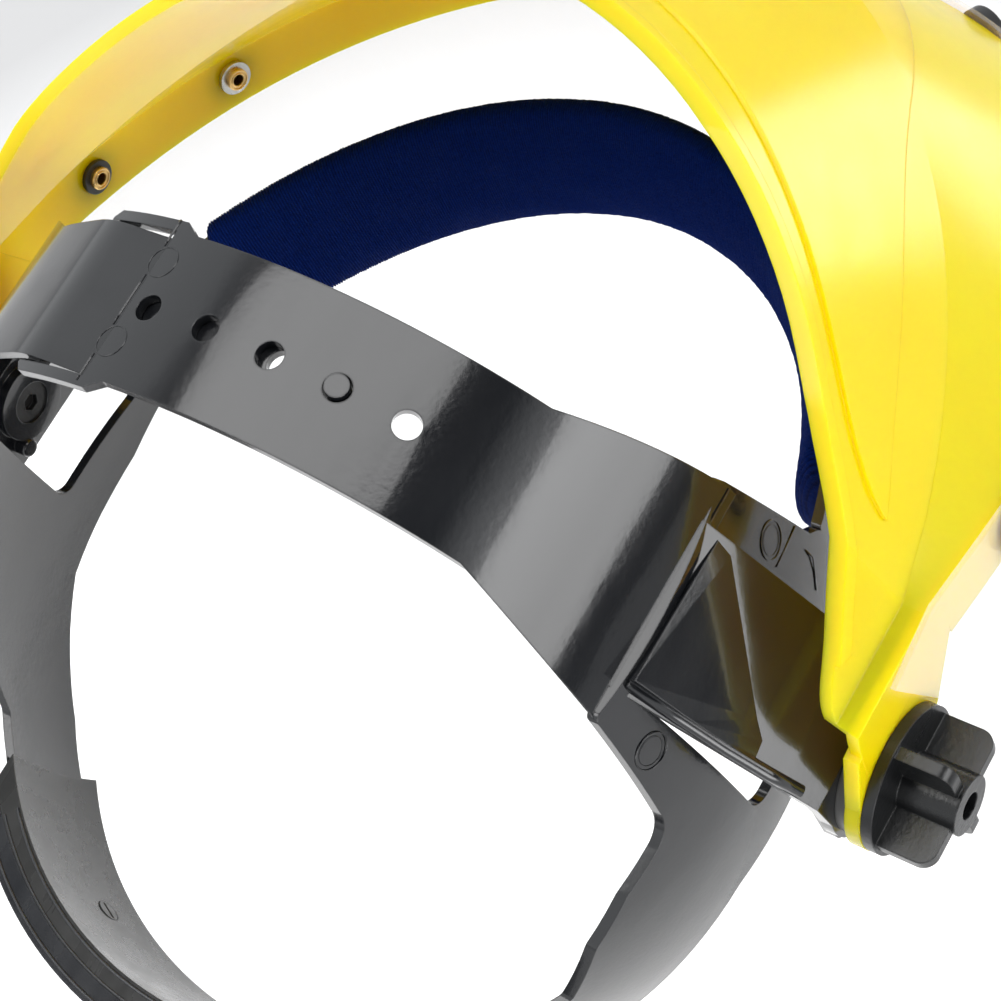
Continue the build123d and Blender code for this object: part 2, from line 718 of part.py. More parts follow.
with BuildPart() as detent_spring:
    with BuildSketch(nape_face.offset(wheel_low + 0.1)):
        with BuildLine():
            Polyline((-spring_half, -spring_t), (-1.4, -spring_t), (0.0, 0.4 - spring_t),
                     (1.4, -spring_t), (spring_half, -spring_t), (spring_half, -spring_t - 0.5),
                     (-spring_half, -spring_t - 0.5), close=True)
        make_face()
    extrude(amount=wheel_high - wheel_low - 0.2)
finish(detent_spring.part, "detent_spring")

with BuildPart() as posts:
    for x, t in screw_places:
        with Locations(nape_place(x, t, 1.0)):
            Cylinder(screw_boss_radius, 8.0)
    for x in (-spring_half, spring_half):
        with Locations(nape_place(x, spring_t + 0.2, 2.4)):
            Box(3.4, 3.0, 4.0)
    add(nape_block(cavity_floor, cavity_roof + 0.6, cavity_top, cavity_bottom, housing_half),
        mode=Mode.INTERSECT)

with BuildPart() as nape_shell:
    add(nape_block(housing_split, housing_outer, housing_top_z, housing_bottom_z, housing_half))
    add(nape_block(0.0, cavity_roof, cavity_top, cavity_bottom, housing_half - housing_wall),
        mode=Mode.SUBTRACT)
    add(posts.part)
    with Locations(nape_face.offset(cavity_roof)):
        Cylinder(shaft_radius + running_gap, 8.0, mode=Mode.SUBTRACT)
    for x, t in screw_places:
        with Locations(nape_place(x, t, 0.0)):
            Cylinder(screw_radius, 6.0, mode=Mode.SUBTRACT)
    add(detent_spring.part, mode=Mode.SUBTRACT)
finish(nape_shell.part, "nape_shell")

with BuildSketch() as pinion_tooth:
    with BuildLine():
        Polyline((3.6, -0.9), (3.6, 0.9), (pinion_tip, 0.4), (pinion_tip, -0.4), close=True)
    make_face()

with BuildPart() as ratchet_pinion:
    with BuildSketch(nape_face.offset(pinion_low)):
        Circle(pinion_root)
        with PolarLocations(0.0, pinion_teeth, start_angle=90.0):
            add(pinion_tooth.sketch)
    extrude(amount=pinion_high - pinion_low)
    with BuildSketch(nape_face.offset(pinion_high)):
        Circle(pinion_root)
    extrude(amount=wheel_low - pinion_high)
    with BuildSketch(nape_face.offset(wheel_low)):
        Circle(ratchet_radius)
        with PolarLocations(ratchet_radius, notch_count, start_angle=90.0):
            Circle(0.6, mode=Mode.SUBTRACT)
    extrude(amount=wheel_high - wheel_low)
    with BuildSketch(nape_face.offset(wheel_high)):
        Circle(shaft_radius)
    extrude(amount=housing_outer + dial_height - wheel_high - 3.0)
finish(ratchet_pinion.part, "ratchet_pinion")

with BuildPart() as ratchet_dial:
    with BuildSketch(nape_face.offset(housing_outer + 0.4)):
        Circle(dial_radius)
        with PolarLocations(dial_radius + 2.2, dial_grips):
            Circle(3.4, mode=Mode.SUBTRACT)
    extrude(amount=dial_height)
    with BuildSketch(nape_face.offset(housing_outer)):
        Circle(shaft_radius)
    extrude(amount=dial_height - 1.0, mode=Mode.SUBTRACT)
    fillet(ratchet_dial.faces().sort_by(Axis.Y)[-1].edges(), 1.2)
finish(ratchet_dial.part, "ratchet_dial")

for side_name, side in SIDES:
    # the right tail runs below the pinion, the left tail above it
    with BuildPart() as rack:
        low_t = rack_tip if side == LEFT else -rack_back
        with BuildSketch(nape_plane.offset(low_t)):
            with Locations((0, -nape_radius)):
                Circle(nape_radius + rack_high)
                Circle(nape_radius + rack_low, mode=Mode.SUBTRACT)
            with Locations((side * (rack_long - rack_short) / 2, 0)):
                Rectangle(rack_long + rack_short, 60.0, mode=Mode.INTERSECT)
        extrude(amount=rack_back - rack_tip)
        for index in range(-5, 6):
            x = index * pi * 2 * pitch_radius / pinion_teeth
            with Locations(nape_place(x, side * rack_tip, rack_high)):
                Box(2 * (rack_root - rack_tip), rack_gap, 6.0, mode=Mode.SUBTRACT)
    finish(rack.part, f"rack_{side_name}")
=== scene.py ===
"""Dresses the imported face-shield headgear: materials, moulded detail, light and camera."""
from math import cos, pi, radians, sin

import bmesh
import bpy
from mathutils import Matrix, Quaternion, Vector, noise


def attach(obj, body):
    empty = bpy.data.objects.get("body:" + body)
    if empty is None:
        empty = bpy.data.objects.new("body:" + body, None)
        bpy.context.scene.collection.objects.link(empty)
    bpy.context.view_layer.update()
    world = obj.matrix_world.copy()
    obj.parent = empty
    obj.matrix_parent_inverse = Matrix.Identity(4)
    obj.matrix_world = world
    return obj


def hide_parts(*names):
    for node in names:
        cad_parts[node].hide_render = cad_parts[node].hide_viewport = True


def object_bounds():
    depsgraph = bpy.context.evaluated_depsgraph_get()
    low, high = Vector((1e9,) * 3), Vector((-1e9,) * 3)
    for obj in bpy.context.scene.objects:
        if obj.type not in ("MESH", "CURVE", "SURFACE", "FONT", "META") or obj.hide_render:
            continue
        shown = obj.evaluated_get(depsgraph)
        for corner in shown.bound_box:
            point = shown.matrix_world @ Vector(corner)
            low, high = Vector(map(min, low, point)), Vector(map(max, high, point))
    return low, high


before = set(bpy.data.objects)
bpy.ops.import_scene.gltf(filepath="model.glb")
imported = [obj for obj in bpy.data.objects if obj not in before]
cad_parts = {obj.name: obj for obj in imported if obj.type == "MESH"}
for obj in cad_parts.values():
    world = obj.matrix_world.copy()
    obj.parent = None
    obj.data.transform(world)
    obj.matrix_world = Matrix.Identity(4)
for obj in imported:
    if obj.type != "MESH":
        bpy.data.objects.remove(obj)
cad_low, cad_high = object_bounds()
MM = 0.001
SOFT_EDGE = 0.4 * MM                  # rounding shaded onto the edges of moulded plastic


# ---------------------------------------------------------------- shader helpers
class Nodes:
    """Small helper round one material's node tree.

    Input names given as keywords have underscores for their spaces.
    """

    def __init__(self, name):
        self.material = bpy.data.materials.new(name)
        self.material.use_nodes = True
        self.tree = self.material.node_tree
        self.tree.nodes.clear()
        self.shader = self.add("ShaderNodeBsdfPrincipled")
        self.out = self.add("ShaderNodeOutputMaterial")
        self.link(self.shader, "BSDF", self.out, "Surface")
        self.place = self.add("ShaderNodeTexCoord")

    def add(self, kind, **inputs):
        node = self.tree.nodes.new(kind)
        for key, value in inputs.items():
            node.inputs[key.replace("_", " ")].default_value = value
        return node

    def link(self, source, out_name, target, in_name):
        """Joins two sockets; the target's one is given by name or, on a maths node, by number."""
        self.tree.links.new(source.outputs[out_name], target.inputs[in_name])

    def join(self, operation, first, first_out, second, second_out):
        """Maths node over two outputs."""
        node = self.add("ShaderNodeMath")
        node.operation = operation
        self.link(first, first_out, node, 0)
        self.link(second, second_out, node, 1)
        return node

    def set(self, **values):
        for key, value in values.items():
            self.shader.inputs[key.replace("_", " ")].default_value = value

    def noise(self, scale, detail=2.0, roughness=0.5, stretch=(1, 1, 1)):
        """Noise in the object's own space, one metre to the unit, stretched by a factor each way."""
        mapping = self.add("ShaderNodeMapping", Scale=stretch)
        self.link(self.place, "Object", mapping, "Vector")
        texture = self.add("ShaderNodeTexNoise", Scale=scale, Detail=detail, Roughness=roughness)
        self.link(mapping, "Vector", texture, "Vector")
        return texture

    def spread(self, source, out_name, low, high, start=0.3, end=0.7):
        """Maps a texture value onto a range."""
        ramp = self.add("ShaderNodeMapRange")
        ramp.inputs["From Min"].default_value = start
        ramp.inputs["From Max"].default_value = end
        ramp.inputs["To Min"].default_value = low
        ramp.inputs["To Max"].default_value = high
        self.link(source, out_name, ramp, "Value")
        return ramp

    def bumps(self, layers, edge=0.0):
        """Chain of bump layers (node, output name, strength, depth in metres), over a rounded edge."""
        last = None
        if edge:
            last = self.add("ShaderNodeBevel", Radius=edge)
            last.samples = 4
        for source, out_name, strength, depth in layers:
            bump = self.add("ShaderNodeBump", Strength=strength, Distance=depth)
            self.link(source, out_name, bump, "Height")
            if last:
                self.link(last, "Normal", bump, "Normal")
            last = bump
        if last:
            self.link(last, "Normal", self.shader, "Normal")

    def colour(self, source, out_name, dark, light, start=0.3, end=0.7):
        """Base colour between two tones."""
        ramp = self.add("ShaderNodeValToRGB")
        for stop, place, tone in zip(ramp.color_ramp.elements, (start, end), (dark, light)):
            stop.position = place
            stop.color = (*tone, 1)
        self.link(source, out_name, ramp, "Fac")
        self.link(ramp, "Color", self.shader, "Base Color")


def plastic(name, dark, light, rough, rough_high, grain=0.0, coat=0.0, scuff=1.0, deep=0.0,
            shine=0.5):
    """Moulded plastic: slow colour drift, flow-marked gloss, fine skin and rounded edges.

    grain and scuff set the skin's and the ripple's bump, deep the light that soaks through a thin
    wall, and shine the strength of the surface reflection.
    """
    m = Nodes(name)
    drift = m.noise(28.0, 3.0)
    m.colour(drift, "Fac", dark, light)
    wear = m.noise(160.0, 4.0, 0.6, (1, 0.18, 1))
    gloss = m.spread(wear, "Fac", rough, rough_high)
    m.link(gloss, "Result", m.shader, "Roughness")
    skin = m.noise(900.0, 2.0)
    ripple = m.noise(55.0, 1.0)
    layers = [(ripple, "Fac", 0.25 * scuff, 0.0006), (skin, "Fac", 0.15 + grain, 0.00012)]
    m.bumps(layers, SOFT_EDGE)
    m.set(Coat_Weight=coat, Coat_Roughness=0.05, IOR=1.5, Specular_IOR_Level=shine)
    if deep:
        m.set(Subsurface_Weight=deep, Subsurface_Radius=(1.0, 0.75, 0.1), Subsurface_Scale=0.010)
    return m.material


def metal(name, tone, rough, brush):
    """Pressed or turned metal with fine brushing."""
    m = Nodes(name)
    drift = m.noise(300.0, 3.0)
    m.colour(drift, "Fac", tuple(c * 0.8 for c in tone), tone)
    lines = m.noise(brush, 2.0, 0.6, (1, 1, 0.1))
    gloss = m.spread(lines, "Fac", rough * 0.7, rough * 1.4)
    m.link(gloss, "Result", m.shader, "Roughness")
    m.bumps([(lines, "Fac", 0.2, 0.00005)], 0.0002)
    m.set(Metallic=1.0)
    return m.material


def clear_sheet(name):
    """Clear sheet: a white veil painted in for the sheet's reflection, faint seen square on and
    stronger where the curve turns away, with a little dust.
    """
    m = Nodes(name)
    m.set(Base_Color=(0.94, 0.95, 0.95, 1), Roughness=0.04, IOR=1.58)
    # the alpha shows the white base as a painted reflection, 0.16 seen square on and rising to 0.5 at
    # grazing; the noise adds up to 0.004 of dust
    rim = m.add("ShaderNodeLayerWeight", Blend=0.5)
    haze = m.noise(40.0, 3.0)
    dust = m.spread(haze, "Fac", 0.0, 0.004)
    painted_sheen = m.spread(rim, "Facing", 0.16, 0.5, 0.6, 1.0)
    dust_and_painted_sheen = m.join("ADD", painted_sheen, "Result", dust, "Result")
    m.link(dust_and_painted_sheen, "Value", m.shader, "Alpha")
    return m.material


# ---------------------------------------------------------------- materials
YELLOW = plastic("guard_abs", (1.0, 0.56, 0.0), (1.0, 0.61, 0.001), 0.19, 0.26,
                 scuff=0.3, deep=1.0, shine=0.3)
BLACK = plastic("strap_pe", (0.006, 0.0065, 0.008), (0.010, 0.011, 0.013), 0.13, 0.2,
                coat=0.4, scuff=0.6)
DARK = plastic("band_pe", (0.010, 0.011, 0.014), (0.014, 0.016, 0.020), 0.2, 0.3,
               coat=0.5, scuff=0.4)
NAPE = plastic("nape_pe", (0.014, 0.0145, 0.0145), (0.024, 0.024, 0.023), 0.22, 0.32,
               coat=0.1, scuff=0.3)
KNOB = plastic("knob_nylon", (0.005, 0.0055, 0.006), (0.009, 0.0095, 0.010), 0.24, 0.36, grain=0.25)
CAP = plastic("cap_pe", (0.012, 0.012, 0.013), (0.02, 0.02, 0.02), 0.25, 0.4)
BUSH = plastic("bush_acetal", (0.09, 0.09, 0.09), (0.13, 0.13, 0.13), 0.3, 0.45)
WASHER_BLACK = plastic("washer_nylon", (0.01, 0.01, 0.01), (0.02, 0.02, 0.02), 0.3, 0.5)
BRASS = metal("rivet_brass", (0.80, 0.55, 0.22), 0.3, 700.0)
BOLT = metal("bolt_blackened", (0.06, 0.06, 0.06), 0.4, 900.0)
STEEL = metal("washer_steel", (0.60, 0.60, 0.58), 0.32, 900.0)
CLEAR = clear_sheet("visor_sheet")

finishes = {
    "brow_guard": YELLOW, "visor": CLEAR, "visor_rivets": BRASS, "steel_washers": STEEL,
    "black_washers": WASHER_BLACK, "visor_caps": CAP, "harness_right": BLACK, "harness_left": BLACK,
    "headband_front": DARK, "sweatband": DARK, "nape_plate": NAPE, "nape_shell": DARK,
    "rack_right": DARK, "rack_left": DARK, "ratchet_pinion": KNOB, "ratchet_dial": KNOB,
    "detent_spring": STEEL, "housing_screws": CAP,
}
for side_name in ("right", "left"):
    finishes[f"pivot_nut_{side_name}"] = BLACK
    finishes[f"pivot_bolt_{side_name}"] = BOLT
    finishes[f"pivot_bush_{side_name}"] = BUSH
    finishes[f"pivot_knob_{side_name}"] = KNOB
    finishes[f"knob_insert_{side_name}"] = BRASS
for node_name, material in finishes.items():
    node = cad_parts[node_name]
    for slot in node.material_slots:
        slot.material = material

# ---------------------------------------------------------------- soft sweat band
# ovals about the head: half width, front reach, side and front heights (millimetres)
HEAD_Y = 8.0
PAD_CORNERS = (
    (72.6, 101.9, -13.6, -25.4),      # inner, low
    (79.0, 107.2, 16.4, 6.6),         # inner, high
    (84.6, 114.0, 16.4, 6.6),         # outer, high
    (87.2, 115.8, -13.6, -25.4),      # outer, low
)
PAD_END = 63.0                        # bearing of the ends from straight ahead, degrees
PAD_LENGTH = 290.0                    # round the middle of the band
PAD_TAPER = 2.2                       # degrees over which an end rounds off
LIFT_FROM, LIFT_SPAN = 0.36, 0.62     # cosine of the bearing where the band leaves its side height
LIFT_POWER = 0.8
SECTION_POWER = 0.62                  # 1 is an ellipse; lower is squarer
CROWN = 0.9                           # swell of the broad faces
SECTION_STEPS = 48
RIB_PITCH, RIB_DEPTH, RIB_STEPS = 0.8, 0.45, 4
FUZZ, FUZZ_SCALE = 0.20, 1.3          # uneven pile, either way


def pad_section(bearing, swell):
    """Four corners of the band's section at one bearing."""
    s, c = sin(radians(bearing)), cos(radians(bearing))
    corners = []
    for half_width, reach, side_z, front_z in PAD_CORNERS:
        lift = min(max((c - LIFT_FROM) / LIFT_SPAN, 0.0), 1.0) ** LIFT_POWER
        z = side_z + (front_z - side_z) * lift
        corners.append(Vector((half_width * s, HEAD_Y - reach * c, z)))
    middle = sum(corners, Vector()) / 4
    return [middle + (corner - middle) * swell for corner in corners]


def squared(value):
    """Cosine or sine of a section's angle, pushed outward to make the section squarer."""
    return (1 if value >= 0 else -1) * abs(value) ** SECTION_POWER


def terry():
    """Navy towelling: painted shade in the valleys between the ribs, loops and worn patches."""
    m = Nodes("navy_terry")
    loops = m.noise(1500.0, 3.0, 0.7)
    patches = m.noise(120.0, 3.0, 0.6)
    # the rib value from the band's mesh darkens the colour in the valleys between the ribs, which is
    # painted shade; the loops add a random tone
    ribs = m.add("ShaderNodeAttribute")
    ribs.attribute_name = "rib_and_valley_shade"
    pile_and_valley_shade = m.add("ShaderNodeMath")
    pile_and_valley_shade.operation = "MULTIPLY_ADD"
    m.link(ribs, "Fac", pile_and_valley_shade, 0)
    pile_and_valley_shade.inputs[1].default_value = 0.45
    m.link(loops, "Fac", pile_and_valley_shade, 2)
    m.colour(pile_and_valley_shade, "Value", (0.0, 0.005, 0.055), (0.0005, 0.014, 0.13), 0.5, 1.1)
    worn = m.spread(patches, "Fac", 0.75, 0.95)
    m.link(worn, "Result", m.shader, "Roughness")
    m.bumps([(loops, "Fac", 0.9, 0.0005), (patches, "Fac", 0.3, 0.001)])
    m.set(Specular_IOR_Level=0.06, Sheen_Weight=0.05, Sheen_Roughness=0.45,
          Sheen_Tint=(0.45, 0.5, 0.9, 1))
    return m.material


def sweat_band():
    """Stuffed band round the forehead: crowned faces, rolled edges and fine ribs across it."""
    mesh = bpy.data.meshes.new("sweat_pad")
    bm = bmesh.new()
    columns = int(PAD_LENGTH / RIB_PITCH) * RIB_STEPS
    # this layer holds the rib profile, which the towelling's shader uses to paint shade into the
    # valleys between the ribs
    height = bm.verts.layers.float.new("rib_and_valley_shade")
    rings = []
    for i in range(columns + 1):
        bearing = -PAD_END + 2 * PAD_END * i / columns
        edge = (PAD_END - abs(bearing)) / PAD_TAPER
        swell = (1.0 - (1.0 - min(edge, 1.0)) ** 2) ** 0.5 * 0.995 + 0.005
        low_in, high_in, high_out, low_out = pad_section(bearing, swell)
        rib_and_valley_shade = abs(sin(pi * i / RIB_STEPS))
        ring = []
        for j in range(SECTION_STEPS):
            turn = 2 * pi * j / SECTION_STEPS
            across, up = squared(cos(turn)), squared(sin(turn))
            inner = low_in.lerp(high_in, (up + 1) / 2)
            outer = low_out.lerp(high_out, (up + 1) / 2)
            point = inner.lerp(outer, (across + 1) / 2)
            out = (outer - inner).normalized()
            crown = CROWN * (1 - up * up) * across
            ribs = RIB_DEPTH * (rib_and_valley_shade - 0.5) * swell
            away = (out * across + Vector((0, 0, 1)) * up).normalized()
            fuzz = FUZZ * noise.noise(point * FUZZ_SCALE) * swell
            vert = bm.verts.new((point + out * crown + away * (ribs + fuzz)) * MM)
            vert[height] = rib_and_valley_shade
            ring.append(vert)
        rings.append(ring)
    for first, second in zip(rings, rings[1:]):
        for j in range(SECTION_STEPS):
            k = (j + 1) % SECTION_STEPS
            bm.faces.new((first[j], first[k], second[k], second[j]))
    bm.faces.new(rings[0])
    bm.faces.new(reversed(rings[-1]))
    bmesh.ops.recalc_face_normals(bm, faces=bm.faces)
    for face in bm.faces:
        face.smooth = True
    bm.to_mesh(mesh)
    bm.free()
    band = bpy.data.objects.new("sweat_pad", mesh)
    bpy.context.collection.objects.link(band)
    mesh.materials.append(terry())
    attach(band, "head")
    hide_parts("sweatband")


sweat_band()

# ---------------------------------------------------------------- moulded marks on the harness
# all in millimetres; the marks of the right side are mirrored to the left
STRAP_WIDTH, STRAP_RISE, STRAP_FOOT = 81.1, 70.2, 18.4   # outer face of the crown strap, an oval arch
STEP_LINE_X = 19.1
STEP_LINES = ((-16.4, -10.9), (-4.9, 5.5), (11.5, 17.0))  # along y
EJECTOR_X, EJECTOR_YS, EJECTOR_RADIUS = 17.1, (-7.9, 8.5), 3.0
CREASE = ((-75.5, -22.0, 44.4), (-75.5, 0.0, 44.5), (-75.5, 23.6, 44.5))
DIALS = (((-78.7, -22.2, 26.8), (-0.96, -0.21, 0.19)),    # centre and outward direction
         ((-80.2, 21.3, 30.3), (-0.96, 0.17, 0.21)))
DIAL_RINGS = ((3.5, 0.12), (2.7, 0.05))                   # radius and half thickness
FORE_LINE = ((-78.5, -28.5, 20.4), (-80.1, -19.4, 22.6))
FORE_CURVE = ((-79.7, -27.1, 14.4), (-80.3, -27.4, 11.4), (-80.8, -25.8, 8.4), (-81.5, -23.9, 5.6))
# half thickness of each mark
EJECTOR_LINE, STEP_LINE, CREASE_LINE, FORE_THIN, FORE_THICK = 0.13, 0.22, 0.18, 0.14, 0.16
TONGUE_OUT = Vector((-0.76, 0.0, 0.65))
WEB_ROOT = 0.4                                            # how far the web starts inside the tongue
WEB = (                                                   # foot of the web, and its height there
    ((-77.5, -13.2, 42.8), 0.15), ((-79.8, -12.4, 40.1), 0.05), ((-92.1, 7.8, 25.8), 0.05),
    ((-93.9, 10.3, 23.7), 0.05), ((-94.0, 14.4, 23.6), 0.8), ((-84.6, 15.2, 34.5), 2.4),
    ((-76.2, 15.6, 44.4), 3.6),
)
REAR_RIB = ((-76.6, 15.6, 44.4), (-84.0, 15.4, 35.6), (-90.6, 15.0, 27.7), (-96.4, 14.3, 20.9),
            (-101.0, 13.6, 15.6))
REAR_RIB_RADIUS = 1.25
FLAT_WEB_AREA = 12.0                                      # larger faces of the web stay flat
NAPE_RIMS = ((80.4, 0.4), (83.3, 0.25), (87.0, 0.35))     # radius and half thickness
NAPE_Y, NAPE_TOP, NAPE_REACH = 13.67, -12.0, 41.0         # centre, height, and half angle in degrees
RIVET_HEAD, RIVET_BORE = 2.5, 1.3
RIVET_END = 0.93                                          # share of its half length where a head starts


def strap_top(x, y):
    """Point of the crown strap's outer face over x and y."""
    return Vector((x, y, STRAP_FOOT + STRAP_RISE * (1 - (x / STRAP_WIDTH) ** 2) ** 0.5))


def bead(bm, path, radius, closed=False, sides=8):
    """Round rib along a path; an open one is closed off at its ends."""
    count = len(path)
    rings = []
    for i, point in enumerate(path):
        before = path[i - 1] if (closed or i) else point
        after = path[(i + 1) % count] if (closed or i < count - 1) else point
        along = (after - before).normalized()
        side = last_side - along * last_side.dot(along) if rings else along.orthogonal()
        side.normalize()
        last_side = side
        up = along.cross(side)
        turns = [2 * pi * j / sides for j in range(sides)]
        around = [point + (side * cos(a) + up * sin(a)) * radius for a in turns]
        rings.append([bm.verts.new(p * MM) for p in around])
    pairs = list(zip(rings, rings[1:])) + ([(rings[-1], rings[0])] if closed else [])
    for first, second in pairs:
        for j in range(sides):
            k = (j + 1) % sides
            bm.faces.new((first[j], first[k], second[k], second[j]))
    if not closed:
        bm.faces.new(rings[0])
        bm.faces.new(reversed(rings[-1]))


def circle(centre, normal, radius, steps=40):
    """Closed ring of points in the plane square to a direction."""
    a = normal.orthogonal().normalized()
    b = normal.cross(a).normalized()
    turns = [2 * pi * i / steps for i in range(steps)]
    return [centre + (a * cos(t) + b * sin(t)) * radius for t in turns]


def as_given(points):
    """The right side's points."""
    return [Vector(p) for p in points]


def mirrored(points):
    """The same points on the left side."""
    return [Vector((-x, y, z)) for x, y, z in points]


def piece(name, bm, material, body="head"):
    """Turns a working mesh into a piece that rides on a body."""
    bmesh.ops.recalc_face_normals(bm, faces=bm.faces)
    for face in bm.faces:
        face.smooth = True
    mesh = bpy.data.meshes.new(name)
    bm.to_mesh(mesh)
    bm.free()
    mesh.materials.append(material)
    obj = bpy.data.objects.new(name, mesh)
    bpy.context.collection.objects.link(obj)
    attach(obj, body)
    return obj


def strap_marks():
    """Ejector rings and the step line by the crown buckle, creases, plain dials and parting lines."""
    bm = bmesh.new()
    for y in EJECTOR_YS:
        turns = [pi * i / 20 for i in range(40)]
        flat = [(EJECTOR_X + EJECTOR_RADIUS * cos(a), y + EJECTOR_RADIUS * sin(a)) for a in turns]
        bead(bm, [strap_top(*point) for point in flat], EJECTOR_LINE, closed=True)
    for start, end in STEP_LINES:
        step = [strap_top(STEP_LINE_X, start + (end - start) * i / 5) for i in range(6)]
        bead(bm, step, STEP_LINE)
    for side in (as_given, mirrored):
        bead(bm, side(CREASE), CREASE_LINE)
        for centre, normal in DIALS:
            for radius, thick in DIAL_RINGS:
                ring = circle(Vector(centre), Vector(normal), radius)
                bead(bm, side(ring), thick, closed=True)
        bead(bm, side(FORE_LINE), FORE_THIN)
        bead(bm, side(FORE_CURVE), FORE_THICK)
    piece("strap_marks", bm, BLACK)


def tongue_ribs():
    """Raised web on each pivot tongue, low in front and high at the crease, with a rolled rear rib."""
    lifts = [lift for point, lift in WEB]
    bm = bmesh.new()
    for side in (as_given, mirrored):
        outward = side([TONGUE_OUT])[0]
        foot = side([point for point, lift in WEB])
        low = [bm.verts.new((p - outward * WEB_ROOT) * MM) for p in foot]
        high = [bm.verts.new((p + outward * lift) * MM) for p, lift in zip(foot, lifts)]
        bm.faces.new(high)
        bm.faces.new(reversed(low))
        for i in range(len(WEB)):
            j = (i + 1) % len(WEB)
            bm.faces.new((low[i], low[j], high[j], high[i]))
        bead(bm, side(REAR_RIB), REAR_RIB_RADIUS, sides=16)
    bmesh.ops.triangulate(bm, faces=[f for f in bm.faces if len(f.verts) > 4])
    obj = piece("tongue_ribs", bm, BLACK)
    for face in obj.data.polygons:
        face.use_smooth = len(face.vertices) == 4 and face.area < FLAT_WEB_AREA * MM * MM


def nape_rims():
    """Rolled rims along the top of the nape plate and its shell."""
    bm = bmesh.new()
    arc = [radians(-NAPE_REACH + 2 * NAPE_REACH * i / 60) for i in range(61)]
    for radius, thick in NAPE_RIMS:
        rim = [Vector((radius * sin(a), NAPE_Y + radius * cos(a), NAPE_TOP)) for a in arc]
        bead(bm, rim, thick)
    piece("nape_rims", bm, DARK)


def separate_shells(bm):
    """Points of each connected shell of a mesh, in millimetres, in the mesh's own order."""
    seen, shells = set(), []
    for start in bm.verts:
        if start in seen:
            continue
        seen.add(start)
        points, grow = [], [start]
        while grow:
            vert = grow.pop()
            points.append(vert.co / MM)
            for edge in vert.link_edges:
                other = edge.other_vert(vert)
                if other not in seen:
                    seen.add(other)
                    grow.append(other)
        shells.append(points)
    return shells


def eyelet_rings():
    """Rolled rim and inner lip on each rivet's inside head."""
    source = bmesh.new()
    source.from_mesh(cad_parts["visor_rivets"].data)
    bmesh.ops.remove_doubles(source, verts=source.verts, dist=0.01 * MM)
    bm = bmesh.new()
    for points in separate_shells(source):
        middle = sum(points, Vector()) / len(points)
        far = max((p - middle).length for p in points)
        ends = [p - middle for p in points if (p - middle).length > RIVET_END * far]
        inside = Vector((-middle.x, -middle.y, 0)).normalized()
        rim = [p for p in ends if p.dot(inside) > 0]
        centre = sum(rim, Vector()) / len(rim)
        axis = centre.normalized()
        for radius, thick in ((RIVET_HEAD - 0.25, 0.25), (RIVET_BORE + 0.2, 0.22)):
            bead(bm, circle(middle + centre, axis, radius, 28), thick, closed=True)
    source.free()
    piece("eyelet_rings", bm, BRASS, "guard")


strap_marks()
tongue_ribs()
nape_rims()
eyelet_rings()

# ---------------------------------------------------------------- floor, light, camera
# all in metres
FLOOR_GAP, FLOOR_REACH = 0.03, 6.0
GLOW_CENTRE = (0.1, 0.0)
GLOW_NEAR, GLOW_FAR = 0.20, 0.34                     # the paper's glow, a painted pool of light round the glow centre, falls off between these
GLOW_HIGH, GLOW_LOW = 0.88, 0.18
WALL_LEVEL, CEILING_LEVEL, FLAG_LEVEL = 1.05, 0.04, 0.08
CEILING_FROM, CEILING_TO = 0.70, 0.78                # height of the direction looked in
FLAG_FROM, FLAG_TO = -0.90, -0.78                    # the dark flag stands beside the right knob
ROOM_TONE = (0.96, 0.98, 1.0, 1)
# soft boxes: direction, distance, width, height, brightness
BOXES = (
    ("overhead", (0.09, -0.27, 0.96), 1.3, 1.2, 0.5, 4.0),
    ("right_flank", (-0.87, -0.28, 0.42), 1.3, 0.6, 0.70, 4.8),
    ("front", (-0.29, -0.94, -0.17), 0.74, 0.26, 0.13, 5.5),
    ("rear_right", (-0.84, 0.54, 0.0), 1.3, 0.8, 0.5, 6.0),
    ("rear", (0.43, 0.36, 0.83), 1.3, 0.6, 0.5, 5.0),
)
# fitted to the edges of the strap, the knob and the guard in the photograph
CAMERA_EYE = (-0.26436, 0.11803, 0.43212)
CAMERA_TARGET = (0.01314, -0.03306, -0.04469)
CAMERA_ROLL = -34.69                                 # degrees
CAMERA_LENS, CAMERA_SENSOR = 97.3, 36.0              # millimetres


def look(obj, eye, target, roll=0.0):
    """Aims an object's -Z at a target, then rolls it about its line of sight."""
    aim = (Vector(target) - Vector(eye)).to_track_quat("-Z", "Y")
    obj.rotation_mode = "QUATERNION"
    obj.rotation_quaternion = aim @ Quaternion((0, 0, 1), roll)
    obj.location = eye


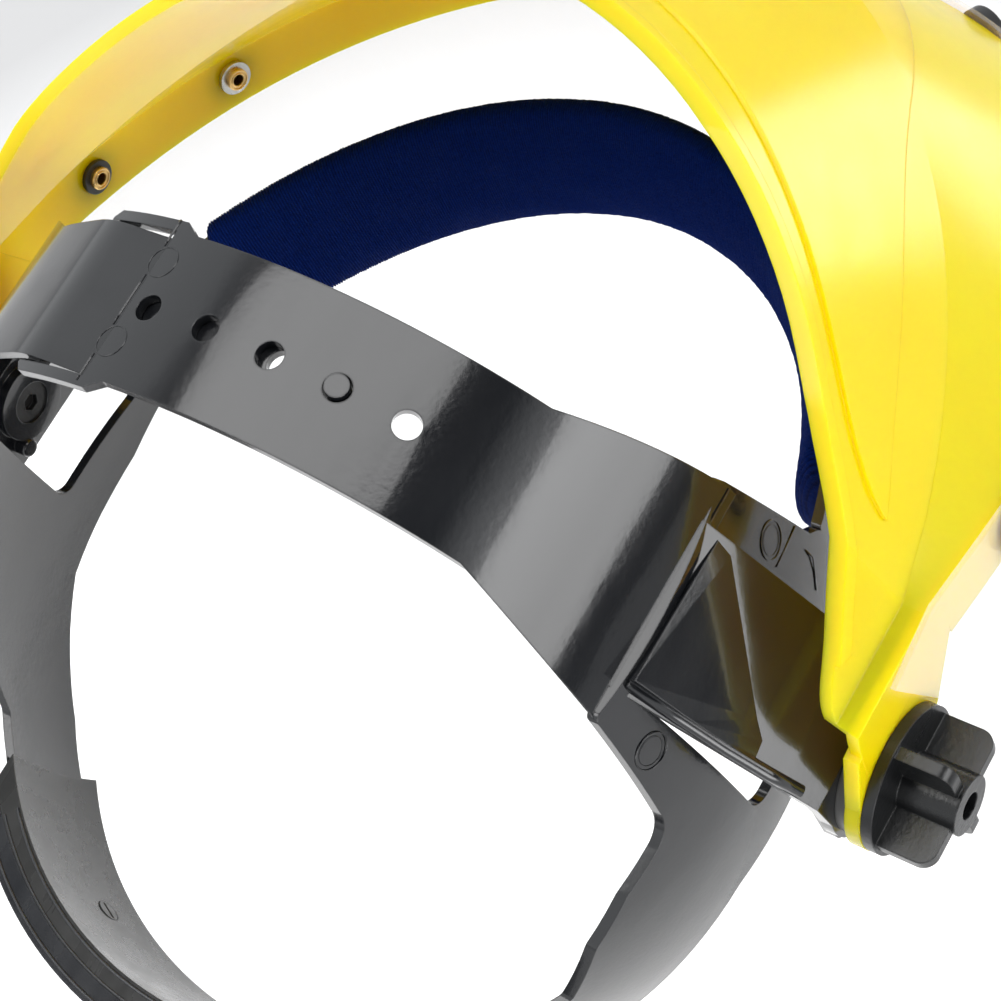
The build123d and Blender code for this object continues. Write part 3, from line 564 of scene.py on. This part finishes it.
def backdrop():
    """Wide pale floor that reads as white paper to the camera, in reflections and through the visor,
    with a painted pool of light brightest round the glow centre.
    """
    mesh = bpy.data.meshes.new("floor")
    reach, level = FLOOR_REACH, cad_low.z - FLOOR_GAP
    corners = [(-reach, -reach, level), (reach, -reach, level), (reach, reach, level),
               (-reach, reach, level)]
    mesh.from_pydata(corners, [], [(0, 1, 2, 3)])
    floor = bpy.data.objects.new("floor", mesh)
    bpy.context.collection.objects.link(floor)
    m = Nodes("floor_paper")
    tone = m.noise(3.0, 2.0)
    m.colour(tone, "Fac", (0.52, 0.52, 0.53), (0.56, 0.56, 0.56))
    m.set(Roughness=0.9)
    path = m.add("ShaderNodeLightPath")
    through = m.join("MAXIMUM", path, "Is Camera Ray", path, "Is Transmission Ray")
    seen = m.join("MAXIMUM", through, "Value", path, "Is Glossy Ray")
    away = m.add("ShaderNodeVectorMath")
    away.operation = "DISTANCE"
    m.link(m.place, "Object", away, 0)
    away.inputs[1].default_value = (*GLOW_CENTRE, level)
    # painted pool of light: the glow is strongest near the centre and dims outward
    painted_light_pool = m.spread(away, "Value", GLOW_HIGH, GLOW_LOW, GLOW_NEAR, GLOW_FAR)
    glow = m.join("MULTIPLY", seen, "Value", painted_light_pool, "Result")
    m.set(Emission_Color=(1, 1, 1, 1))
    m.link(glow, "Value", m.shader, "Emission Strength")
    mesh.materials.append(m.material)


def softbox(name, direction, distance, width, height, level):
    """Rectangular area lamp that faces the object; its level is the brightness of its face."""
    lamp = bpy.data.lights.new(name, "AREA")
    lamp.shape = "RECTANGLE"
    lamp.size, lamp.size_y = width, height
    lamp.energy = level * pi * width * height
    obj = bpy.data.objects.new(name, lamp)
    bpy.context.collection.objects.link(obj)
    look(obj, Vector(direction).normalized() * distance, (0, 0, 0))


def world_ramp(tree, coordinates, axis, start, end, low, high):
    """Level over one axis of the direction looked in."""
    ramp = tree.nodes.new("ShaderNodeMapRange")
    for name, value in (("From Min", start), ("From Max", end), ("To Min", low), ("To Max", high)):
        ramp.inputs[name].default_value = value
    tree.links.new(coordinates.outputs[axis], ramp.inputs["Value"])
    return ramp


def studio():
    """Pale room with a dark ceiling and a dark flag by the right knob, and the soft boxes in it."""
    world = bpy.data.worlds.new("room")
    bpy.context.scene.world = world
    world.use_nodes = True
    tree = world.node_tree
    place = tree.nodes.new("ShaderNodeTexCoord")
    split = tree.nodes.new("ShaderNodeSeparateXYZ")
    tree.links.new(place.outputs["Generated"], split.inputs["Vector"])
    fade = world_ramp(tree, split, "Z", CEILING_FROM, CEILING_TO, WALL_LEVEL, CEILING_LEVEL)
    flag = world_ramp(tree, split, "X", FLAG_FROM, FLAG_TO, FLAG_LEVEL, 1.0)
    level = tree.nodes.new("ShaderNodeMath")
    level.operation = "MULTIPLY"
    tree.links.new(fade.outputs["Result"], level.inputs[0])
    tree.links.new(flag.outputs["Result"], level.inputs[1])
    background = tree.nodes["Background"]
    tree.links.new(level.outputs["Value"], background.inputs["Strength"])
    background.inputs["Color"].default_value = ROOM_TONE
    for box in BOXES:
        softbox(*box)


def camera():
    """View from behind and above the wearer's right shoulder, rolled with the photograph."""
    data = bpy.data.cameras.new("camera")
    data.sensor_width, data.lens = CAMERA_SENSOR, CAMERA_LENS
    data.clip_start = 0.01
    obj = bpy.data.objects.new("camera", data)
    bpy.context.collection.objects.link(obj)
    look(obj, CAMERA_EYE, CAMERA_TARGET, radians(CAMERA_ROLL))
    bpy.context.scene.camera = obj


backdrop()
studio()
camera()
bpy.context.scene.view_settings.view_transform = "Standard"
